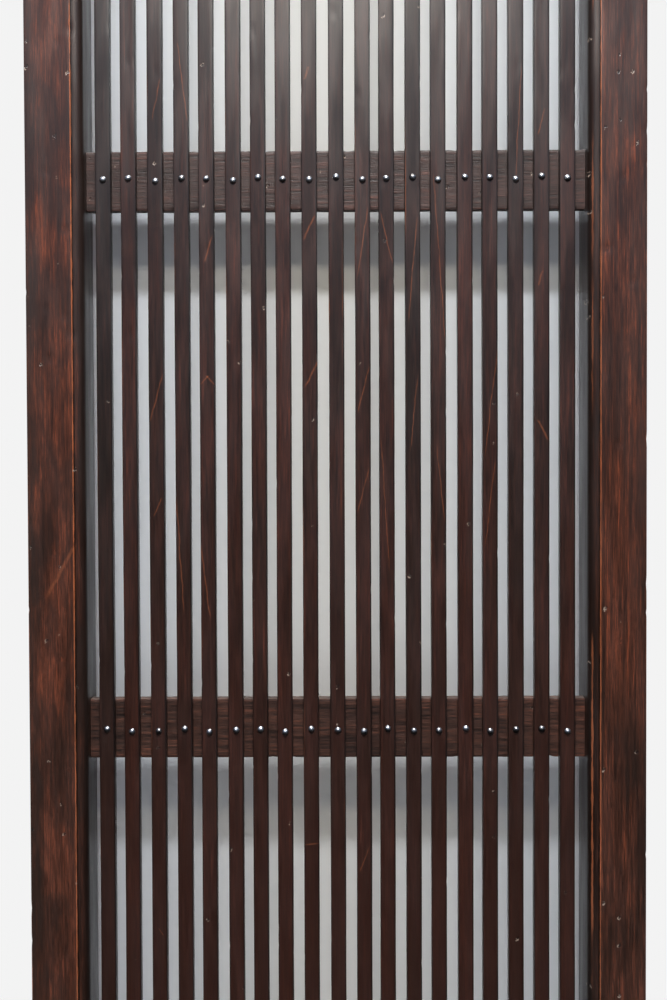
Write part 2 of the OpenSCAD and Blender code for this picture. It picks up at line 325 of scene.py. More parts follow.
def moulded_runs(face, face_steps):
    """Outline of a frame member: u from its outer to its inner edge, v from front to back."""
    inner = face + MOULD_W
    return [
        ("line", (0, FACE_Y + OUTER_ARRIS), 1),
        ("arc", (OUTER_ARRIS, FACE_Y + OUTER_ARRIS), QUARTER, 3),
        ("line", (face - WORN_ARRIS, FACE_Y), face_steps),
        ("arc", (face - WORN_ARRIS, FACE_Y + WORN_ARRIS), QUARTER, 3),
        ("line", (face, FACE_Y + QUIRK_D), 1),
        ("line", (face + QUIRK_W, FACE_Y + QUIRK_D), 1),
        ("line", (face + QUIRK_W, FACE_Y + ROUND_START), 1),
        ("arc", (face + QUIRK_W, FACE_Y + ROUND_START + ROUND_R), ROUND_TURN, 10),
        ("line", (inner, BACK_Y - OUTER_ARRIS), 1),
        ("arc", (inner - OUTER_ARRIS, BACK_Y - OUTER_ARRIS), QUARTER, 3),
        ("line", (OUTER_ARRIS, BACK_Y), 2),
        ("arc", (OUTER_ARRIS, BACK_Y - OUTER_ARRIS), QUARTER, 3),
    ]


def through_cutter(name, points):
    """A cutter with an outline in X and Z, run through the leaf's whole thickness."""
    depth = BACK_Y - FACE_Y + 4 * OVERRUN
    front = FACE_Y - 2 * OVERRUN
    runs = [("line", point, 1) for point in points[1:]]
    return outline_prism(
        name, lambda u, v: Vector((u, front, v)), points[0], runs, Vector((0, depth, 0))
    )


def tongue_cutters():
    """The two rebates that leave the tongue along the head."""
    for front, back in ((FACE_Y - OVERRUN, -TONGUE_T / 2), (TONGUE_T / 2, BACK_Y + OVERRUN)):
        yield block(
            "rebate",
            (-HALF_W - OVERRUN, front, TOP_Z - TONGUE_H),
            (HALF_W + OVERRUN, back, TOP_Z + OVERRUN),
        )


def mortise_cutters(side, tenon):
    """The through mortise for one tenon, with its ends flared for the wedges."""
    z0, z1 = tenon
    half = TENON_T / 2 + WOOD_GAP
    mouth = block(
        "mortise mouth",
        (HALF_W - WEDGE_L - WOOD_GAP, -half, z0 - WEDGE_TIP_T - WOOD_GAP),
        (HALF_W + WOOD_GAP, half, z1 + WEDGE_TIP_T + WOOD_GAP),
    )
    only(mouth)
    bpy.ops.object.mode_set(mode="EDIT")
    for end, out in ((z0, -1), (z1, 1)):
        pick(mouth, "VERT", lambda co: co.x > HALF_W and (co.z - end) * out > 0)
        bpy.ops.transform.translate(value=(0, 0, out * (WEDGE_T - WEDGE_TIP_T)))
    bpy.ops.object.mode_set(mode="OBJECT")
    bore = block(
        "mortise", (OPEN_X - OVERRUN, -half, z0 - WOOD_GAP), (HALF_W - WEDGE_L, half, z1 + WOOD_GAP)
    )
    for cutter in (mouth, bore):
        if side < 0:
            only(cutter)
            bpy.ops.transform.mirror(constraint_axis=(True, False, False), center_override=(0, 0, 0))
            bpy.ops.object.transform_apply(location=True, rotation=True, scale=True)
            face_outwards(cutter)
        yield cutter


def stub_cutter(side, row):
    """The blind mortise for the stub of a cross rail."""
    low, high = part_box(f"cross_rail_{row}")
    ends = sorted((side * (OPEN_X - OVERRUN), side * (high.x + STUB_SLACK)))
    return block(
        "stub mortise",
        (ends[0], low.y - WOOD_GAP, low.z + STUB_SHOULDER - WOOD_GAP),
        (ends[1], high.y + WOOD_GAP, high.z - STUB_SHOULDER + WOOD_GAP),
    )


def mitre_cutter(side, outer_z, face_z, open_z):
    """Clears a stile's moulding past the mitre, where a rail meets the stile."""
    past = outer_z + math.copysign(OVERRUN, outer_z - face_z)
    inner = OPEN_X - OVERRUN
    skew = face_z + (open_z - face_z) * (FACE_X - inner) / MOULD_W
    points = [(inner, past), (FACE_X, past), (FACE_X, face_z), (inner, skew)]
    return through_cutter("stile mitre", [(side * x, z) for x, z in points])


def model_stile(name, side, seed):
    """One stile, with its moulding, mitres and mortises, and the dents of long use."""
    stile = outline_prism(
        name,
        lambda u, v: Vector((side * (HALF_W - u), v, BOTTOM_Z)),
        (0, BACK_Y - OUTER_ARRIS),
        moulded_runs(HALF_W - FACE_X, 14),
        Vector((0, 0, TOP_Z - BOTTOM_Z)),
    )
    ring_cuts(stile, 2, 4 * MM)
    hand_planed(stile, "Y", 0.35 * MM, 0.11)
    chance = random.Random(seed)
    for _ in range(26):
        x = side * chance.uniform(FACE_X + 4 * MM, HALF_W)
        place = Vector((x, FACE_Y, chance.uniform(BOTTOM_Z, TOP_Z)))
        dent(stile, place, (0, chance.uniform(0.3, 0.9) * MM, 0), chance.uniform(3, 6) * MM)
    for x in (side * FACE_X, side * HALF_W, side * OPEN_X):
        for _ in range(7):
            place = Vector((x, FACE_Y, chance.uniform(BOTTOM_Z, TOP_Z)))
            push = (-math.copysign(0.35 * MM, x), 0.5 * MM, 0)
            dent(stile, place, push, chance.uniform(3, 8) * MM)
    cut_away(stile, mitre_cutter(side, BOTTOM_Z, FACE_Z0, OPEN_Z0))
    cut_away(stile, mitre_cutter(side, TOP_Z, FACE_Z1, OPEN_Z1))
    cut_away(stile, *tongue_cutters())
    for tenon in (TOP_TENON, BOTTOM_TENON):
        cut_away(stile, *mortise_cutters(side, tenon))
    cut_away(stile, *(stub_cutter(side, row) for row in ROWS))
    smooth(stile)
    return stile


def pocket_cutter(z0, z1):
    """The pockets for all the slats' ends, as one cutter."""
    pockets = []
    for number in range(1, SLAT_COUNT + 1):
        low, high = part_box(slat_name(number))
        pockets.append(block(
            "pocket",
            (low.x - WOOD_GAP, low.y - WOOD_GAP, z0),
            (high.x + WOOD_GAP, high.y + WOOD_GAP, z1),
        ))
    return joined("pockets", pockets)


def model_rail(name, outer_z, face_z, open_z, tenon):
    """The top or the bottom rail, with mitred moulding, through tenons and slat pockets."""
    up = math.copysign(1, open_z - outer_z)
    rail = outline_prism(
        name,
        lambda u, v: Vector((-FACE_X, v, outer_z + up * u)),
        (0, BACK_Y - OUTER_ARRIS),
        moulded_runs(abs(face_z - outer_z), 12),
        Vector((2 * FACE_X, 0, 0)),
    )
    ring_cuts(rail, 0, 5 * MM)
    hand_planed(rail, "Y", 0.3 * MM, 0.09)
    for side in (-1, 1):
        points = [(FACE_X, face_z), (FACE_X + OVERRUN, face_z - up * OVERRUN)]
        points += [(FACE_X + OVERRUN, open_z + up * OVERRUN), (OPEN_X - OVERRUN, open_z + up * OVERRUN)]
        cut_away(rail, through_cutter("rail mitre", [(side * x, z) for x, z in points]))
        ends = sorted((side * (FACE_X - 4 * MM), side * HALF_W))
        add_on(rail, block(
            "tenon", (ends[0], -TENON_T / 2, tenon[0]), (ends[1], TENON_T / 2, tenon[1])
        ))
    cut_away(rail, pocket_cutter(*sorted((open_z - up * POCKET_D, open_z + up * OVERRUN))))
    return rail


def roller_room(side):
    """Room in the bottom rail for a roller case, its flange and its two screws."""
    low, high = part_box(f"roller_case_{side}")
    axle_low, axle_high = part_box(f"roller_axle_{side}")
    screw_low, screw_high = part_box(f"roller_screws_{side}")
    middle = (low.x + high.x) / 2
    case_half = (high.x - low.x) / 2 - FLANGE_EAR
    yield block(
        "flange room",
        (low.x - WOOD_GAP, low.y - WOOD_GAP, BOTTOM_Z - OVERRUN),
        (high.x + WOOD_GAP, high.y + WOOD_GAP, BOTTOM_Z + FLANGE_T),
    )
    yield block(
        "case room",
        (middle - case_half - WOOD_GAP, axle_low.y - CASE_ROOM, BOTTOM_Z - OVERRUN),
        (middle + case_half + WOOD_GAP, axle_high.y + CASE_ROOM, high.z + WOOD_GAP),
    )
    for x in (screw_low.x, screw_high.x):
        inner = x + math.copysign(SCREW_HEAD_R, middle - x)
        nothing_selected()
        bpy.ops.mesh.primitive_cylinder_add(
            vertices=24, radius=PILOT_R,
            depth=2 * (screw_high.z - BOTTOM_Z), location=(inner, 0, BOTTOM_Z),
        )
        bpy.ops.object.transform_apply(location=True, rotation=True, scale=True)
        yield named("pilot")


# ---- Lattice ----

def model_slat_blank():
    """The first slat: front arrises eased, and enough rings for its waves and dents."""
    low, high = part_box(slat_name(1))
    blank = block("slat blank", low, high)
    only(blank)
    bpy.ops.object.mode_set(mode="EDIT")
    pick(blank, "EDGE", lambda middle, way: along(way, 2) and middle.y < low.y + 1 * MM)
    bpy.ops.mesh.bevel(offset=0.75 * MM, segments=3, affect="EDGES")
    pick(blank, "EDGE", lambda middle, way: along(way, 2) and middle.y > high.y - 1 * MM)
    bpy.ops.mesh.bevel(offset=0.3 * MM, segments=1, affect="EDGES")
    pick(blank, "EDGE", lambda middle, way: along(way, 0, 5 * MM))
    bpy.ops.mesh.subdivide(number_cuts=5)
    bpy.ops.object.mode_set(mode="OBJECT")
    ring_cuts(blank, 2, 6 * MM)
    return blank


def copy_of(piece, name):
    twin = piece.copy()
    twin.data = piece.data.copy()
    twin.name = name
    twin.data.name = name
    bpy.context.scene.collection.objects.link(twin)
    return twin


def shifted(piece, shift):
    only(piece)
    bpy.ops.transform.translate(value=shift)
    bpy.ops.object.transform_apply(location=True, rotation=True, scale=True)
    return piece


def model_slat(blank, number):
    """A copy of the blank in its own place, with its own waves and dents."""
    low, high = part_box(slat_name(number))
    slat = copy_of(blank, f"{slat_name(number)}_wood")
    shifted(slat, (low.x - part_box(slat_name(1))[0].x, 0, 0))
    hand_planed(slat, "X", 0.8 * MM, 0.21)
    hand_planed(slat, "Y", 0.2 * MM, 0.05)
    chance = random.Random(100 + number)
    for _ in range(9):
        x = chance.choice((low.x, high.x, chance.uniform(low.x, high.x)))
        place = Vector((x, low.y, chance.uniform(OPEN_Z0, OPEN_Z1)))
        push = ((slat_middle(number) - x) * 0.04, chance.uniform(0.25, 0.7) * MM, 0)
        dent(slat, place, push, chance.uniform(2.5, 5) * MM)
    smooth(slat)
    return slat


def model_cross_rail(row):
    """A cross rail: rough-sawn face, chipped front arrises, and a stub at each end."""
    low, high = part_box(f"cross_rail_{row}")
    rail = block(f"cross_rail_{row}_wood", (-OPEN_X, low.y, low.z), (OPEN_X, high.y, high.z))
    only(rail)
    bpy.ops.object.mode_set(mode="EDIT")
    pick(rail, "EDGE", lambda middle, way: along(way, 0))
    bpy.ops.mesh.bevel(offset=0.5 * MM, segments=2, affect="EDGES")
    pick(rail, "EDGE", lambda middle, way: along(way, 2, 20 * MM))
    bpy.ops.mesh.subdivide(number_cuts=19)
    bpy.ops.object.mode_set(mode="OBJECT")
    ring_cuts(rail, 0, 3 * MM)
    hand_planed(rail, "Y", 0.35 * MM, 0.02)
    chance = random.Random(row)
    for _ in range(24):
        place = Vector((chance.uniform(-OPEN_X, OPEN_X), low.y, chance.choice((low.z, high.z, high.z))))
        dent(rail, place, (0, 0.4 * MM, (rail_middle(row) - place.z) * 0.02), chance.uniform(2, 7) * MM)
    for side in (-1, 1):
        ends = sorted((side * (OPEN_X - 3 * MM), side * high.x))
        add_on(rail, block(
            "stub",
            (ends[0], low.y + 0.3 * MM, low.z + STUB_SHOULDER),
            (ends[1], high.y - 0.3 * MM, high.z - STUB_SHOULDER),
        ))
    smooth(rail)
    return rail


def model_nail():
    """One nail at the origin, with its domed head towards -Y."""
    dome_r = ((HEAD_D / 2) ** 2 + HEAD_H ** 2) / (2 * HEAD_H)
    nothing_selected()
    bpy.ops.mesh.primitive_uv_sphere_add(
        segments=28, ring_count=20, radius=dome_r,
        location=(0, dome_r - HEAD_H, 0), rotation=(QUARTER, 0, 0),
    )
    nail = named("nail")
    bpy.ops.object.transform_apply(location=True, rotation=True, scale=True)
    bpy.ops.object.mode_set(mode="EDIT")
    bpy.ops.mesh.select_all(action="SELECT")
    bpy.ops.mesh.bisect(plane_co=(0, 0, 0), plane_no=(0, 1, 0), clear_outer=True, use_fill=True)
    pick(nail, "FACE", lambda middle, normal: normal.y > 0.99)
    bpy.ops.mesh.inset(thickness=(HEAD_D - SHANK_D) / 2)
    bpy.ops.mesh.extrude_region_move(TRANSFORM_OT_translate={"value": (0, SHANK_L - SHANK_D, 0)})
    bpy.ops.mesh.extrude_region_move(TRANSFORM_OT_translate={"value": (0, SHANK_D, 0)})
    bpy.ops.transform.resize(value=(0.2, 1, 0.2))
    bpy.ops.object.mode_set(mode="OBJECT")
    face_outwards(nail)
    return nail


def model_nails(nail, row):
    """A row of nails, each hand-driven: a little turned, and a little flattened by the hammer."""
    chance = random.Random(f"nails {row}")
    slat_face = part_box(slat_name(1))[0].y
    copies = []
    for number in range(1, SLAT_COUNT + 1):
        one = copy_of(nail, f"nail {row} {number}")
        only(one)
        one.rotation_euler = (
            chance.uniform(-0.05, 0.05), chance.uniform(0, 6.28), chance.uniform(-0.05, 0.05)
        )
        one.scale = (chance.uniform(0.94, 1.02), 1, chance.uniform(0.94, 1.02))
        one.location = (slat_middle(number), slat_face + 0.05 * MM, nail_height(number, row))
        bpy.ops.object.transform_apply(location=True, rotation=True, scale=True)
        copies.append(one)
    nails = joined(f"nails_{row}_steel", copies)
    smooth(nails, 40)
    return nails


# ---- Materials ----

def rgb(red, green, blue):
    """A colour given as a painter reads it, 0 to 255 a channel, for a shader socket."""
    def linear(value):
        value /= 255
        return value / 12.92 if value <= 0.04045 else ((value + 0.055) / 1.055) ** 2.4
    return (linear(red), linear(green), linear(blue), 1.0)


class Graph:
    """Adds nodes to a material or a node group, and links them."""

    def __init__(self, tree):
        self.tree = tree

    def add(self, kind, inputs=None, **settings):
        node = self.tree.nodes.new(kind)
        for name, value in settings.items():
            setattr(node, name, value)
        for name, value in (inputs or {}).items():
            self.feed(node.inputs[name], value)
        return node

    def feed(self, socket, value):
        if isinstance(value, bpy.types.NodeSocket):
            self.tree.links.new(value, socket)
        else:
            socket.default_value = value

    def math(self, operation, *values):
        node = self.add("ShaderNodeMath", operation=operation)
        for socket, value in zip(node.inputs, values):
            self.feed(socket, value)
        return node.outputs[0]

    def vector(self, operation, first, second):
        node = self.add("ShaderNodeVectorMath", operation=operation)
        self.feed(node.inputs[0], first)
        self.feed(node.inputs[1], second)
        return node.outputs[0]

    def noise(self, place, scale, detail=2.0, rough=0.5, warp=0.0):
        node = self.add("ShaderNodeTexNoise", {
            "Vector": place, "Scale": scale, "Detail": detail, "Roughness": rough, "Distortion": warp
        })
        return node.outputs["Fac"]

    def ramp(self, value, low, high, bottom=0.0, top=1.0):
        """Rises smoothly from bottom at low to top at high."""
        node = self.add("ShaderNodeMapRange", {
            "Value": value, "From Min": low, "From Max": high, "To Min": bottom, "To Max": top
        }, interpolation_type="SMOOTHSTEP")
        return node.outputs[0]

    def mix(self, amount, first, second, blend="MIX"):
        node = self.add("ShaderNodeMix", data_type="RGBA", blend_type=blend)
        self.feed(node.inputs["Factor"], amount)
        self.feed(node.inputs[6], first)
        self.feed(node.inputs[7], second)
        return node.outputs[2]

    def split(self, place):
        return self.add("ShaderNodeSeparateXYZ", {0: place}).outputs

    def group(self, tree, inputs):
        node = self.add("ShaderNodeGroup", node_tree=tree)
        for name, value in inputs.items():
            self.feed(node.inputs[name], value)
        return node.outputs


FLOAT = "NodeSocketFloat"
COLOUR = "NodeSocketColor"
PLACE = "NodeSocketVector"


def effect(name, inputs, outputs):
    """A node group with named sockets. Returns it, its graph, its inputs and its output node."""
    tree = bpy.data.node_groups.new(name, "ShaderNodeTree")
    for label, kind in inputs.items():
        tree.interface.new_socket(label, in_out="INPUT", socket_type=kind)
    for label, kind in outputs.items():
        tree.interface.new_socket(label, in_out="OUTPUT", socket_type=kind)
    graph = Graph(tree)
    given = graph.add("NodeGroupInput").outputs
    result = graph.add("NodeGroupOutput").inputs
    return tree, graph, given, result


def make_stained_grain():
    """Stained softwood with its grain along the place's Z: colour, relief and gloss loss."""
    tree, g, given, result = effect(
        "stained grain",
        {
            "Place": PLACE, "Dark": COLOUR, "Red": COLOUR, "Bright": COLOUR,
            "Redness": FLOAT, "Contrast": FLOAT, "Streaks": FLOAT,
        },
        {"Color": COLOUR, "Relief": FLOAT, "Dull": FLOAT},
    )
    place = given["Place"]
    fibre = g.noise(g.vector("MULTIPLY", place, (1, 1, 0.035)), 1050, 4, 0.78)
    rings = g.noise(g.vector("MULTIPLY", place, (1, 1, 0.028)), 300, 4, 0.62, 0.2)
    broad = g.noise(g.vector("MULTIPLY", place, (1, 1, 0.14)), 62, 4, 0.6)
    patch = g.noise(place, 11, 2, 0.5)

    def swing(value, gain):
        return g.math("MULTIPLY", g.math("SUBTRACT", value, 0.5), gain)

    wander = g.math("ADD", swing(broad, 2.0), g.math("ADD", swing(rings, 2.4), swing(patch, 1.0)))
    tone = g.math("ADD", given["Redness"], g.math("MULTIPLY", wander, given["Contrast"]))
    colour = g.mix(g.ramp(tone, 0.0, 1.0), given["Dark"], given["Red"])
    thin = g.math("ADD", rings, swing(fibre, 1.1))
    bright = g.math("MULTIPLY", g.ramp(thin, 0.5, 0.8), g.ramp(tone, 0.4, 1.1))
    colour = g.mix(g.math("MULTIPLY", bright, given["Streaks"]), colour, given["Bright"])
    shade = g.add("ShaderNodeCombineColor")
    for socket in shade.inputs:
        g.feed(socket, g.ramp(fibre, 0.32, 0.68, 0.42, 1.55))
    colour = g.mix(1.0, colour, shade.outputs[0], "MULTIPLY")
    g.feed(result["Color"], colour)
    g.feed(result["Relief"], g.math("MULTIPLY_ADD", fibre, 0.7, g.math("MULTIPLY", rings, 0.6)))
    g.feed(result["Dull"], g.ramp(broad, 0.35, 0.65, -0.06, 0.07))
    return tree


def make_worn_line():
    """Bare wood along an arris: a thin, broken line where a coordinate passes a value."""
    tree, g, given, result = effect(
        "worn line",
        {"Place": PLACE, "Across": FLOAT, "Line": FLOAT, "Width": FLOAT, "Cover": FLOAT},
        {"Mask": FLOAT},
    )
    away = g.math("ABSOLUTE", g.math("SUBTRACT", given["Across"], given["Line"]))
    ragged = g.noise(g.vector("MULTIPLY", given["Place"], (1, 1, 0.25)), 260, 3, 0.6)
    reach = g.math("MULTIPLY", given["Width"], g.ramp(ragged, 0.25, 0.75, 0.3, 1.7))
    line = g.math("SUBTRACT", 1.0, g.ramp(g.math("DIVIDE", away, reach), 0.5, 1.0))
    patches = g.noise(g.vector("MULTIPLY", given["Place"], (1, 1, 0.4)), 14, 3, 0.6)
    cover = g.math("ADD", g.math("SUBTRACT", patches, 1.0), given["Cover"])
    g.feed(result["Mask"], g.math("MULTIPLY", line, g.ramp(cover, -0.08, 0.12)))
    return tree


def make_knocks():
    """Small knocks and scratches: dark hollows, painted shade and dirt in the dents, and pale rims, bared
    wood where the finish has gone with a painted glint.
    """
    tree, g, given, result = effect(
        "knocks",
        {"Place": PLACE, "Scale": FLOAT, "Cover": FLOAT},
        {"Dark": FLOAT, "Pale": FLOAT, "Depth": FLOAT},
    )
    bent = g.noise(given["Place"], 320, 3, 0.6)
    offset = g.math("MULTIPLY", g.math("SUBTRACT", bent, 0.5), 0.006)
    shove = g.add("ShaderNodeCombineXYZ", {"X": offset, "Y": 0.0, "Z": offset}).outputs[0]
    place = g.vector("ADD", g.vector("MULTIPLY", given["Place"], (1, 0.3, 0.8)), shove)
    cells = g.add("ShaderNodeTexVoronoi", {"Vector": place, "Scale": given["Scale"]})
    chosen = g.split(cells.outputs["Color"])
    there = g.math("LESS_THAN", chosen[0], given["Cover"])
    size = g.math("MULTIPLY_ADD", chosen[1], 0.13, 0.05)
    near = g.math("DIVIDE", cells.outputs["Distance"], size)
    hollow = g.math("MULTIPLY", g.ramp(near, 0.5, 1.0, 1.0, 0.0), there)
    rim = g.math("MULTIPLY", g.ramp(near, 0.3, 0.7), g.ramp(near, 0.8, 1.15, 1.0, 0.0))
    rim = g.math("MULTIPLY", rim, there)
    g.feed(result["Dark"], hollow)
    g.feed(result["Pale"], g.math("MULTIPLY", rim, g.ramp(bent, 0.5, 0.62)))
    g.feed(result["Depth"], g.math("MULTIPLY", hollow, -1.0))
    return tree


def make_slant_streak():
    """One slanting streak of bare early wood, given by its middle, lean and size."""
    tree, g, given, result = effect(
        "slant streak",
        {
            "Place": PLACE, "X": FLOAT, "Z": FLOAT, "Lean": FLOAT,
            "Half length": FLOAT, "Half width": FLOAT,
        },
        {"Mask": FLOAT},
    )
    spot = g.split(given["Place"])
    rise = g.math("SUBTRACT", spot[2], given["Z"])
    wander = g.math("MULTIPLY", g.math("SUBTRACT", g.noise(given["Place"], 60, 2), 0.5), 0.003)
    line = g.math("ADD", given["X"], g.math("MULTIPLY", given["Lean"], rise))
    away = g.math("ABSOLUTE", g.math("ADD", g.math("SUBTRACT", spot[0], line), wander))
    ends = g.ramp(g.math("DIVIDE", g.math("ABSOLUTE", rise), given["Half length"]), 0.7, 1.0, 1.0, 0.0)
    body = g.ramp(g.math("DIVIDE", away, given["Half width"]), 0.1, 1.2, 1.0, 0.0)
    fine = g.noise(g.vector("MULTIPLY", given["Place"], (1, 1, 0.2)), 700, 2)
    rubbed = g.ramp(fine, 0.3, 0.6, 0.35, 1.0)
    g.feed(result["Mask"], g.math("MULTIPLY", g.math("MULTIPLY", ends, body), rubbed))
    return tree


STAINED_GRAIN = make_stained_grain()
WORN_LINE = make_worn_line()
KNOCKS = make_knocks()
SLANT_STREAK = make_slant_streak()

UPPER_SHADE = (1.0, 1.35)                   # heights over which the upper part is darkened: painted shade against the stronger lamp light there
LOWER_RED = (0.35, 0.95)                    # heights over which the lower part's red fades
BARE_WOOD = rgb(168, 92, 52)                # early wood where the stain has worn off
# Pale rims of knocks: bared wood, with a painted glint.
PALE_CHIP_AND_GLINT = rgb(170, 150, 135)
# Near black: painted shade on slats' sides and in knocks, and the dark of dents and sawn ribs.
SHADE_AND_CHIP_DARK = rgb(14, 10, 9)
BLACK_STAIN = rgb(27, 17, 13)
BROWN_STAIN = rgb(62, 33, 21)
RED_STAIN = rgb(116, 52, 25)


def new_material(name):
    """A material with a Principled shader. Returns it, its graph and the shader."""
    material = bpy.data.materials.new(name)
    material.use_nodes = True
    graph = Graph(material.node_tree)
    shader = material.node_tree.nodes["Principled BSDF"]
    return material, graph, shader


def object_place(graph, turn=(0, 0, 0), shift=(0, 0, 0)):
    """The piece's own coordinates, turned so that its grain runs along Z."""
    coordinates = graph.add("ShaderNodeTexCoord").outputs["Object"]
    mapping = graph.add("ShaderNodeMapping", {"Vector": coordinates, "Rotation": turn, "Location": shift})
    return coordinates, mapping.outputs[0]


def finish_wood(graph, shader, colour, relief, dull, gloss, depth, wax):
    """Feeds the shader of a stained wood, with or without wax on it."""
    graph.feed(shader.inputs["Base Color"], colour)
    graph.feed(shader.inputs["Roughness"], graph.math("ADD", gloss, dull))
    bump = graph.add("ShaderNodeBump", {"Height": relief, "Strength": 0.6, "Distance": depth})
    graph.feed(shader.inputs["Normal"], bump.outputs[0])
    shader.inputs["Specular IOR Level"].default_value = 0.5 if wax else 0.35
    graph.feed(shader.inputs["Coat Weight"], wax)
    shader.inputs["Coat Roughness"].default_value = 0.22


def stained_wood(
    name, dark=BLACK_STAIN, red=BROWN_STAIN, redness=0.5, contrast=0.55, streaks=0.6,
    turn=(0, 0, 0), shift=(0, 0, 0),
    lines=(), slants=(), knocks=0.2, knock_scale=70, gloss=0.36, depth=0.25 * MM,
    moulding=False, sawn=False, sides=None, rub=0.6, outer=0.0, dusty_lit_top=None, upper=0.42,
    blotch=0.0, lower=0.0,
):
    """Stained softwood.

    lines are worn arrises: the axis across them (0 X, 2 Z), their place, width and cover.
    moulding darkens a stile's moulding towards the opening, painted shade where its round turns away from
    the light, and paints a near-black line of painted shade in its quirk.
    sawn gives a cross rail its rough, ribbed grain.
    sides is a slat's middle, for a slat whose sides are painted darker than its face: painted shade where
    they turn away from the light.
    rub is how far the worn arrises show bare wood, and outer how dark a stile's outer edge is.
    dusty_lit_top is the height of a cross rail's top, painted paler there: partly dusty, partly painted
    light where it faces the lamps above. upper is how dark the upper part is: painted shade against the
    stronger lamp light near the top.
    blotch is how dark the blotches of heavier stain are, and lower how red the lower part is.
    slants are bare streaks: X, Z, lean, half length and half width.
    """
    material, g, shader = new_material(name)
    own, place = object_place(g, turn, shift)
    grain = g.group(STAINED_GRAIN, {
        "Place": place, "Dark": dark, "Red": red, "Bright": RED_STAIN,
        "Redness": redness, "Contrast": contrast, "Streaks": streaks,
    })
    colour = grain["Color"]
    axes = g.split(own)
    wax = 0.0 if sawn else 0.3
    if moulding:
        across = g.math("ABSOLUTE", axes[0])
        # Painted shade: the moulding darkens towards the opening, where its round turns away from the
        # light.
        round_shade = g.ramp(across, OPEN_X + 1 * MM, FACE_X - 2 * MM, 0.97, 0.6)
        round_shade = g.math("MULTIPLY", round_shade, g.math("LESS_THAN", across, FACE_X))
        colour = g.mix(round_shade, colour, rgb(18, 10, 7))
        wax = g.math("MULTIPLY", g.math("GREATER_THAN", across, FACE_X), wax)
    relief = grain["Relief"]
    # Painted shade: the upper part is darkened towards the dark stain, against the stronger lamp light
    # near the top.
    colour = g.mix(g.ramp(axes[2], *UPPER_SHADE, 0.0, upper), colour, dark)
    if lower:
        colour = g.mix(g.ramp(axes[2], *LOWER_RED, lower, 0.0), colour, red)
    if blotch:
        blots = g.noise(g.vector("MULTIPLY", own, (1, 1, 0.35)), 24, 4, 0.62, 0.3)
        colour = g.mix(g.ramp(blots, 0.47, 0.6, 0.0, blotch), colour, rgb(30, 20, 16))
    if outer:
        ragged = g.noise(g.vector("MULTIPLY", own, (1, 1, 0.3)), 45, 3)
        ragged = g.math("MULTIPLY_ADD", ragged, 30 * MM, -15 * MM)
        near_edge = g.math("ADD", g.math("ABSOLUTE", axes[0]), ragged)
        near_edge = g.ramp(near_edge, HALF_W - 16 * MM, HALF_W - 4 * MM, 0.0, outer)
        colour = g.mix(near_edge, colour, rgb(34, 25, 21))
    if dusty_lit_top is not None:
        # Partly dusty, partly painted light: a cross rail's top face, behind its front arris, is painted
        # paler where it faces the lamps above.
        pale_top_mask = g.ramp(axes[2], dusty_lit_top - 0.9 * MM, dusty_lit_top - 0.3 * MM)
        off_front_arris = g.ramp(axes[1], RAIL_FRONT + 0.4 * MM, RAIL_FRONT + 1.4 * MM, 0.0, 0.12)
        pale_top_mask = g.math("MULTIPLY", pale_top_mask, off_front_arris)
        colour = g.mix(pale_top_mask, colour, rgb(150, 144, 136))
    if sawn:
        ribs = g.noise(g.vector("MULTIPLY", place, (1, 1, 0.1)), 480, 3, 0.65)
        colour = g.mix(g.ramp(ribs, 0.36, 0.5, 0.5, 0.0), colour, SHADE_AND_CHIP_DARK)
        colour = g.mix(g.ramp(ribs, 0.55, 0.7, 0.0, 0.13), colour, rgb(104, 76, 68))
        relief = g.math("MULTIPLY_ADD", ribs, 0.9, relief)
    for axis, at, width, cover in lines:
        across = g.math("ABSOLUTE", axes[axis]) if axis == 0 else axes[axis]
        worn = g.group(WORN_LINE, {
            "Place": place, "Across": across, "Line": at, "Width": width, "Cover": cover
        })
        colour = g.mix(g.math("MULTIPLY", worn["Mask"], rub), colour, BARE_WOOD)
    if moulding:
        # Painted shade: a near-black line along the quirk, where shade falls in the recess.
        quirk_x = FACE_X - QUIRK_W / 2 - 0.1 * MM
        sunk = g.math("COMPARE", g.math("ABSOLUTE", axes[0]), quirk_x, QUIRK_W / 2)
        colour = g.mix(g.math("MULTIPLY", sunk, 0.92), colour, rgb(8, 6, 5))
    if sides is not None:
        # Painted shade: a slat's sides and the arrises beside them are darkened, as faces turned away
        # from the light.
        off = g.math("ABSOLUTE", g.math("SUBTRACT", axes[0], sides - 0.4 * MM))
        shade = g.ramp(off, SLAT_HALF - 1.5 * MM, SLAT_HALF - 0.2 * MM, 0.0, 0.85)
        colour = g.mix(shade, colour, SHADE_AND_CHIP_DARK)
    for x, z, lean, half_length, half_width in slants:
        streak = g.group(SLANT_STREAK, {
            "Place": own, "X": x, "Z": z, "Lean": lean,
            "Half length": half_length, "Half width": half_width,
        })
        colour = g.mix(g.math("MULTIPLY", streak["Mask"], 0.2), colour, BARE_WOOD)
    marks = g.group(KNOCKS, {"Place": own, "Scale": knock_scale, "Cover": knocks})
    # Painted shade and dirt in the knocks' hollows, and bared wood with a painted glint on their rims.
    colour = g.mix(g.math("MULTIPLY", marks["Dark"], 0.6), colour, SHADE_AND_CHIP_DARK)
    colour = g.mix(g.math("MULTIPLY", marks["Pale"], 0.5), colour, PALE_CHIP_AND_GLINT)
    relief = g.math("MULTIPLY_ADD", marks["Depth"], 1.5, relief)
    finish_wood(g, shader, colour, relief, grain["Dull"], gloss, depth, wax)
    return material


